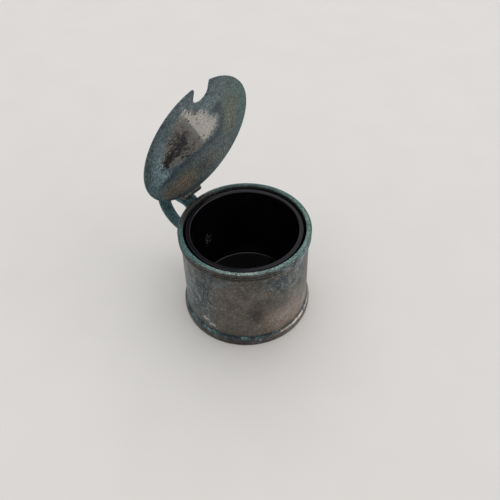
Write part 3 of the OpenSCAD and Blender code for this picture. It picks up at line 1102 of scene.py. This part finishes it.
@dataclass
class Handle:
    """The flat strap handle, from under the hinge round to the wall."""

    drum: Drum  # The drum that it is fixed to.
    hinge: Hinge  # The hinge over it.
    strap_t: float = 1.6  # Thickness of the strap.
    top_w: float = 8.0  # Its width at its upper end.
    low_w: float = 5.2  # Its width at its lower end.
    pad_back: float = 2.8  # How far behind the hinge's axis the upper bend starts.
    top_bend: float = 9.65  # Radius of the loop's upper bend.
    low_bend: float = 12.5  # Radius of the loop's lower bend.
    root_bend: float = 3.2  # Radius of the bend at the upper root.
    top_slope: float = 50.0  # Slope of the upper root, in degrees.
    low_slope: float = 18.0  # Slope of the lower root, in degrees.
    root_sink: float = 0.5  # How far the roots reach inside the wall's face.
    level_sink: float = 6.0  # How far inside it the lower sweep would run level.
    edge: float = 0.45  # Radius of the strap's worn edges.

    def route(self) -> tuple[Array, float]:
        """Draws the strap's middle line: a sloping root, three bends and a long sweep to the wall.

        Each arc starts in the direction in which the line before it ends. The sweep would run level at
        level_sink inside the wall, so its radius is its way along X to there / sin(low_slope).

        Returns:
            The line's points in X and Z, and the height of the lower root.
        """
        low, high = packed_box("strap_handle")
        level, loop_x = high[2] - self.strap_t / 2, low[0] + self.strap_t / 2
        loop_z = level - self.top_bend
        slope, fall = math.radians(self.top_slope), math.radians(self.low_slope)
        bend = (self.hinge.axis[0] - self.pad_back, level - self.root_bend)
        bend_end = np.array(bend) + self.root_bend * np.array([math.sin(slope), math.cos(slope)])
        root_run = (self.root_sink - self.drum.wall_high_r - bend_end[0]) * np.array([1, -math.tan(slope)])
        downward = np.array([math.sin(fall), math.cos(fall)])
        low_end = np.array([loop_x + self.low_bend, loop_z]) - self.low_bend * downward
        sweep_r = (self.level_sink - self.drum.wall_low_r - low_end[0]) / math.sin(fall)
        sweep_c = low_end + sweep_r * downward
        reach = math.degrees(math.asin((self.root_sink - self.drum.wall_low_r - sweep_c[0]) / sweep_r))
        foot = 270 - self.low_slope
        line = np.concatenate(
            [
                [bend_end + root_run],
                arc(bend, self.root_bend, 90 - self.top_slope, 90, 10),
                arc((loop_x + self.top_bend, loop_z), self.top_bend, 90, 180, 30),
                arc((loop_x + self.low_bend, loop_z), self.low_bend, 180, foot, 26)[1:],
                arc(sweep_c, sweep_r, foot, 270 + reach, 16)[1:],
            ]
        )
        return filled(line, 0.7, closed=False), sweep_c[1] - sweep_r

    def build(self, palette: Palette) -> None:
        """Carries a rounded oblong section along the route, narrower towards its lower end.

        A point is the line's point plus the outward normal times the section's height, with the
        section's width along Y. The section's flat middle is drawn in with the strap's width, and its
        round edges keep their size.

        Args:
            palette: the finishes.
        """
        line, low_z = self.route()
        along = np.gradient(line, axis=0)
        along /= np.linalg.norm(along, axis=1, keepdims=True)
        outward = np.stack([-along[:, 1], along[:, 0]], axis=1)
        half_t, half_w = self.strap_t / 2, self.top_w / 2
        share = (line[:, 1:] - low_z) / (line[:, 1].max() + half_t - low_z)
        half = (self.low_w + (self.top_w - self.low_w) * share) / 2
        corners = ((-half_w, -half_t), (half_w, -half_t), (half_w, half_t), (-half_w, half_t))
        section = filled(rounded([(*corner, self.edge) for corner in corners]), 0.6)
        side, off = np.sign(section[:, 0]), np.abs(section[:, 0])
        flat = section[:, 0] / (half_w - self.edge) * (half - self.edge)
        across = np.where(off > half_w - self.edge, side * (half + (off - half_w)), flat)
        place = line[:, None] + outward[:, None] * section[None, :, 1:]
        points = np.stack([place[..., 0], across, place[..., 1]], axis=2)
        patchy = ripple(points[..., 0] + points[..., 2], points[..., 1], 12.0, 21)
        rooted = np.clip((points[..., 0] + self.drum.wall_high_r) / 5 + 1.2, 0, 1)
        masks = {
            Mask.GREEN: 0.4 + 0.2 * patchy,
            Mask.DARK: 0.15 + 0.1 * rooted - 0.1 * patchy,
            Mask.PALE: 0.08 + 0.12 * rooted - 0.06 * patchy,
        }
        Shell(points, masks, caps=True).build("strap_handle", palette.strap, Slot.GREEN)


@dataclass
class Lid:
    """The shallow domed lid with its spoon notch."""

    drum: Drum  # The drum that it covers.
    hinge: Hinge  # The hinge that carries it.
    rise: float = 1.2  # Height of the shallow dome.
    thick: float = 0.9  # Thickness of the sheet.
    land: float = 1.2  # Width of the flat seat.
    over: float = 0.35  # How far the edge stands out past the rim.
    gap: float = 0.2  # Gap between the shut lid and the rim.
    opened: float = 78.0  # Angle at which the lid stands open.
    notch_w: float = 8.7  # Width of the spoon notch.
    notch_d: float = 9.0  # Depth of the spoon notch.
    notch_turn: float = -1.5  # Turn of the notch from straight opposite the hinge.
    lip: float = 0.5  # Radius of the notch's outer corners.
    edge: float = 0.15  # Radius of the sheet's worn edges.
    edge_n: int = 5  # Rings over such an edge.
    # How far the first flat rings of the grid are drawn in from the edge.
    insets: tuple[float, ...] = (0.4, 0.8, 1.2)
    inner_r: float = 17.4  # Radius at which its rings become round.
    # How many rings lead to that radius, and how many from it to the middle.
    ring_n: tuple[int, int] = (18, 23)
    mouth: float = 24.0  # Angle up to which that circle's points belong to the notch.
    patch_soft: float = 3.2  # How far the bright patch, polish with a painted reflection, fades to both sides of its outline.

    def __post_init__(self) -> None:
        """Works out the edge's radius and the shut lid's height."""
        self.edge_r = self.drum.rim_r + self.over
        self.seat_z = self.drum.top_z + self.gap

    def dome(self, radius: Array, spring: float) -> Array:
        """Gives a shallow dome's heights: rise - B + sqrt(B * B - r * r), B being its ball's radius."""
        # With this B the dome springs from height 0 at the spring radius.
        ball = (spring**2 + self.rise**2) / (2 * self.rise)
        return self.rise - ball + np.sqrt(ball**2 - np.minimum(radius, self.edge_r) ** 2)

    def outline(self) -> tuple[Array, Array]:
        """Draws the lid's edge from the notch's floor round to the hinge and back.

        The notch's floor is half a circle, its sides run straight out, and a small arc turns each
        side into the lid's round edge. A second, round outline gives each point a partner inside.

        Returns:
            The edge's points and their partners' angles.
        """
        half_w = self.notch_w / 2
        lip_y = half_w + self.lip
        lip_x = math.sqrt((self.edge_r - self.lip) ** 2 - lip_y**2)
        lip_end = math.degrees(math.atan2(lip_y, lip_x))
        floor = arc((self.edge_r - self.notch_d + half_w, 0), half_w, 180, 90, 25)
        corner = arc((lip_x, lip_y), self.lip, -90, lip_end, 9)
        notch = filled(np.concatenate([floor, corner]), 0.35, closed=False)
        rim = arc((0, 0), self.edge_r, lip_end, 180, 150)[1:]
        inner = np.linspace(0, self.mouth, len(notch)), np.linspace(self.mouth, 180, len(rim) + 1)[1:]
        side, partner = np.concatenate([notch, rim]), np.concatenate(inner)
        edge = np.concatenate([side, (side * (1, -1))[-2:0:-1]])
        return edge, np.radians(np.concatenate([partner, -partner[-2:0:-1]]))

    def plan(self) -> tuple[Array, Array]:
        """Lays rings from the edge in: drawn in from it, then towards a circle, then to a point.

        The first are edge + inset * inward normal. The others are A * (1 - s) + B * s, by even shares s
        of the way from A, the ring before, to B, the circle or the middle.

        Returns:
            The rings' points in the lid's plane, and how far each ring is drawn in from the edge.
        """
        edge, angle = self.outline()
        along = np.roll(edge, -1, axis=0) - np.roll(edge, 1, axis=0)
        inward = np.stack([-along[:, 1], along[:, 0]], axis=1) / np.linalg.norm(along, axis=1, keepdims=True)
        inset = np.append(self.edge * (1 - np.cos(np.linspace(0, np.pi / 2, self.edge_n))), self.insets)
        near = edge + inset[:, None, None] * inward
        circle = self.inner_r * np.stack([np.cos(angle), np.sin(angle)], axis=1)
        share, rest = (np.linspace(0, 1, count + 1)[:, None, None] for count in self.ring_n)
        between = near[-1] * (1 - share[1:]) + circle * share[1:]
        centre = circle * rest[-2::-1]
        rings = np.concatenate([near, between, centre])
        return rings, np.concatenate([inset, np.full(len(rings) - len(inset), self.thick)])

    def dish(self) -> Shell:
        """Raises the rings into an outer and an inner face, joined by an upright side with rounded edges.

        Half the thickness shrinks by e * (1 - sqrt(1 - (1 - d / e) ** 2)) over the last stretch e
        before the side.

        Returns:
            The lid, shut, about its own middle.
        """
        rings, inset = self.plan()
        radius = np.linalg.norm(rings, axis=2)
        outer = self.thick + self.dome(radius, self.edge_r)
        inner = np.maximum(self.dome(radius, self.edge_r - self.land), 0)
        shrink = self.edge * (1 - np.sqrt(1 - (1 - np.clip(inset / self.edge, 0, 1)) ** 2))[:, None]
        middle, half = (outer + inner) / 2, (outer - inner) / 2 - shrink
        lower, upper = (np.dstack([rings, height]) for height in (middle - half, middle + half))
        turn = math.radians(self.notch_turn)
        cos, sin = math.cos(turn), math.sin(turn)
        points = np.concatenate([lower[::-1], upper]) @ np.array([[cos, sin, 0], [-sin, cos, 0], [0, 0, 1]])
        inside = np.concatenate([np.ones(lower.shape[:2]), np.zeros(upper.shape[:2])])
        return Shell(points, self.tarnish(points, inside))

    def tarnish(self, points: Array, inside: Array) -> Masks:
        """Lays the lid's tarnish and its painted reflection out in its own plane, X towards the notch.

        Args:
            points: the lid's points, shut, about its own middle.
            inside: 1 on the inner face and 0 on the outer one.

        Returns:
            The layers' masks.
        """
        across, up = points[..., 0], points[..., 1]
        outside = 1 - inside
        drawn = {
            # The bright patch: polished plate with a painted reflection.
            Mask.BARE: blot(across, up, LID_PATCH, self.patch_soft),
            Mask.SLATE: streak(across, up, *LID_LINE),
            Mask.DARK: sum(streak(across, up, *smear) for smear in LID_SMEARS),
        }
        masks = {mask: value * inside for mask, value in stained(LID_STAINS, across, up, drawn).items()}
        for mask, value in stained(LID_BACK_STAINS, across, up).items():
            masks[mask] += value * outside
        patchy = ripple(across, up, 14.0, 31)
        edge = ramp(np.linalg.norm(points[..., :2], axis=2) - self.edge_r, -1.2, 1.0)
        masks[Mask.GREEN] += 0.25 * edge + 0.1 * patchy + 0.2 * outside
        masks[Mask.OLIVE] += outside * (0.3 - 0.2 * patchy)
        masks[Mask.SLATE] += 0.5 * edge
        return masks

    def build(self, palette: Palette) -> None:
        """Makes the lid and its thumbpiece, and opens them about the hinge.

        Args:
            palette: the finishes.
        """
        dish, thumb = self.dish(), Thumbpiece(self).shell()
        dish.points[..., 2] += self.seat_z
        for shell in (dish, thumb):
            shell.turn(self.hinge.axis, self.opened)
        dish.build("lid", palette.lid, Slot.LID, Body.LID)
        thumb.build("thumbpiece", palette.hinge, Slot.WORN, Body.LID)


@dataclass
class Thumbpiece:
    """The thumbpiece on the lid's outer side, over the hinge."""

    lid: Lid  # The lid that it stands on.
    curve_r: float = 8.5  # Radius of its backward curve.
    start: float = -5.0  # Where it starts on that curve, in degrees, below its root.
    sweep: float = 58.0  # Where it ends on it, in degrees.
    thick: float = 1.2  # Its thickness.
    top_w: float = 9.0  # Width of its round top.
    root_w: float = 5.2  # Width of its root.
    root_in: float = 1.9  # How far inside the lid's edge it stands.
    leaf_t: float = 0.8  # Thickness of the hinge's plate under it.
    flare: float = 1.5  # Power with which it widens.
    tip: float = 0.02  # Half width of its very top.
    oblong: float = 0.55  # Power of its section's cosine and sine, 1 for an oval and 0 for an oblong.
    rows: int = 60  # Sections along it.
    steps: int = 48  # Points round each section.

    def shell(self) -> Shell:
        """Carries a rounded section up a backward curve, widening into a round top.

        A section's points are half width * c and half thickness * s, c and s being the cosine and the
        sine of an even turn, each to a power, with the thickness along the curve's radius R. A section at
        the turn t stands R * sin(t) high. Its half width grows by a power of that height up to the top's
        middle, and from there it is a circle's, sqrt(w * w - h * h) at h above the middle.

        Returns:
            The thumbpiece on the shut lid.
        """
        lid, half_t, half_top, half_root = self.lid, self.thick / 2, self.top_w / 2, self.root_w / 2
        root = lid.edge_r - self.root_in
        root_z = lid.seat_z + lid.thick + self.leaf_t + float(lid.dome(np.array(root), lid.edge_r))
        turn = np.radians(np.linspace(self.start, self.sweep, self.rows))[:, None]
        height = self.curve_r * np.sin(turn)
        top = self.curve_r * math.sin(math.radians(self.sweep))
        belly = top - half_top
        stem = half_root + (half_top - half_root) * np.clip(height / belly, 0, 1) ** self.flare
        crown = np.sqrt(np.clip(half_top**2 - (height - belly) ** 2, 0.0, None))
        half = np.where(height < belly, stem, np.maximum(crown, self.tip))
        ring = np.linspace(0, 2 * np.pi, self.steps, endpoint=False)
        wide, deep = (np.sign(wave) * np.abs(wave) ** self.oblong for wave in (np.cos(ring), np.sin(ring)))
        distance = self.curve_r + half_t * np.minimum(1, half / half_t) ** 0.5 * deep
        back, up = distance * np.cos(turn), distance * np.sin(turn)
        points = np.stack([-root - self.curve_r + back, half * wide, root_z + up], axis=2)[:, ::-1]
        patchy = ripple(points[..., 1], points[..., 2], 6.0, 41)
        raised = ramp(points[..., 2], root_z, top)
        masks = {
            Mask.BLUE: 0.3 + 0.2 * patchy,
            Mask.GREEN: 0.5 - 0.5 * raised,
            Mask.DARK: 0.35 - 0.3 * raised,
            Mask.BARE: 0.7 * raised**2,
        }
        return Shell(points, masks, caps=True)


@dataclass(frozen=True)
class Lamp:
    """A square soft lamp."""

    name: str
    place: tuple[float, float, float]  # Where it hangs, in metres.
    size: float  # Its width, in metres.
    power: float  # Its power, in watts.

    def hang(self, aim: Sequence[float]) -> None:
        """Hangs the lamp.

        Args:
            aim: the point that it faces, in metres.
        """
        data = bpy.data.lights.new(self.name, "AREA")
        data.size = self.size
        data.energy = self.power
        lamp = placed(self.name, data)
        lamp.location = self.place
        lamp.rotation_euler = (Vector(aim) - Vector(self.place)).to_track_quat("-Z", "Y").to_euler()


@dataclass
class Studio:
    """The pale table, the soft lamps and the camera."""

    table: tuple[str, str] = ("e2dfdc", "e0ddda")  # The table's two shades.
    table_half: float = 12.0  # Half the table's width, in metres.
    table_rough: float = 0.7
    cloud: float = 40.0  # The size of its shades.
    focal_px: float = 574.2  # The camera's focal length in pixels of a picture of picture_px.
    picture_px: float = 500.0  # The picture's width.
    sensor: float = 36.0  # The width of the camera's sensor.
    azimuth: float = 42.32  # The camera's way round the pot, in degrees.
    elevation: float = 47.604  # Its angle above the table.
    distance: float = 273.2  # Its distance from the middle of the drum.
    middle_z: float = 24.0  # The height of that middle.
    pan: float = -0.458  # How far the camera turns aside from that middle.
    tilt: float = -1.202  # How far it turns up from it.
    roll: float = 2.072  # How far it leans.
    world: float = 0.72  # The strength of the light from all round.
    aim: tuple[float, float, float] = (0, 0, 0.12)  # The point that the lamps face, in metres.
    lamps: tuple[Lamp, ...] = (
        Lamp("side", (3.5, 2.1, 1.2), 5.2, 67.0),
        Lamp("back", (-1.52, 1.68, 3.68), 4.8, 45.0),
    )

    def camera(self) -> None:
        """Places the camera on its circle round the pot and turns it by pan, tilt and roll."""
        round_z, above = math.radians(self.azimuth), math.radians(self.elevation)
        right = Vector((math.cos(round_z), math.sin(round_z), 0))
        level = Vector((-math.sin(round_z), math.cos(round_z), 0))
        ahead = level * math.cos(above) - Vector((0, 0, math.sin(above)))
        turned = Matrix((right, right.cross(ahead), -ahead)).transposed()
        for degrees, axis in ((self.pan, "Y"), (-self.tilt, "X"), (-self.roll, "Z")):
            turned = turned @ Matrix.Rotation(math.radians(degrees), 3, axis)
        data = bpy.data.cameras.new("camera")
        data.sensor_width = self.sensor
        data.lens = self.focal_px / self.picture_px * self.sensor
        camera = placed("camera", data)
        place = Vector((0, 0, self.middle_z)) - ahead * self.distance
        camera.matrix_world = Matrix.Translation(place * MM) @ turned.to_4x4()
        bpy.context.scene.camera = camera

    def floor(self) -> None:
        """Lays the table: a wide pale sheet with a faint grain."""
        half = self.table_half
        corners = [(-half, -half, 0), (half, -half, 0), (half, half, 0), (-half, half, 0)]
        mesh = bpy.data.meshes.new("table")
        mesh.from_pydata(corners, [], [(0, 1, 2, 3)])
        shader = Shader("pale_table")
        colour = shader.shades(shader.step(shader.noise(self.cloud, detail=2.0)), self.table)
        mesh.materials.append(shader.surface(Base_Color=colour, Roughness=self.table_rough))
        placed("table", mesh)

    def build(self) -> None:
        """Sets the view, the light from all round, the lamps, the table and the camera."""
        scene = bpy.context.scene
        scene.view_settings.view_transform = "Standard"
        scene.world = bpy.data.worlds.new("soft_room")
        scene.world.use_nodes = True
        background = scene.world.node_tree.nodes["Background"]
        background.inputs["Color"].default_value = (1, 1, 1, 1)
        background.inputs["Strength"].default_value = self.world
        for lamp in self.lamps:
            lamp.hang(self.aim)
        self.floor()
        self.camera()


def main() -> None:
    """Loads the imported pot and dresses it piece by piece."""
    logging.basicConfig(level=logging.INFO, format="%(name)s: %(message)s")
    for item in list(bpy.data.objects):
        bpy.data.objects.remove(item)
    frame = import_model()
    palette = Palette()
    drum = Drum()
    hinge = Hinge()
    drum.build(palette)
    Liner().build(palette)
    Handle(drum, hinge).build(palette)
    hinge.build(palette, frame["nodes"])
    Lid(drum, hinge).build(palette)
    Studio().build()


if __name__ == "__main__":
    main()
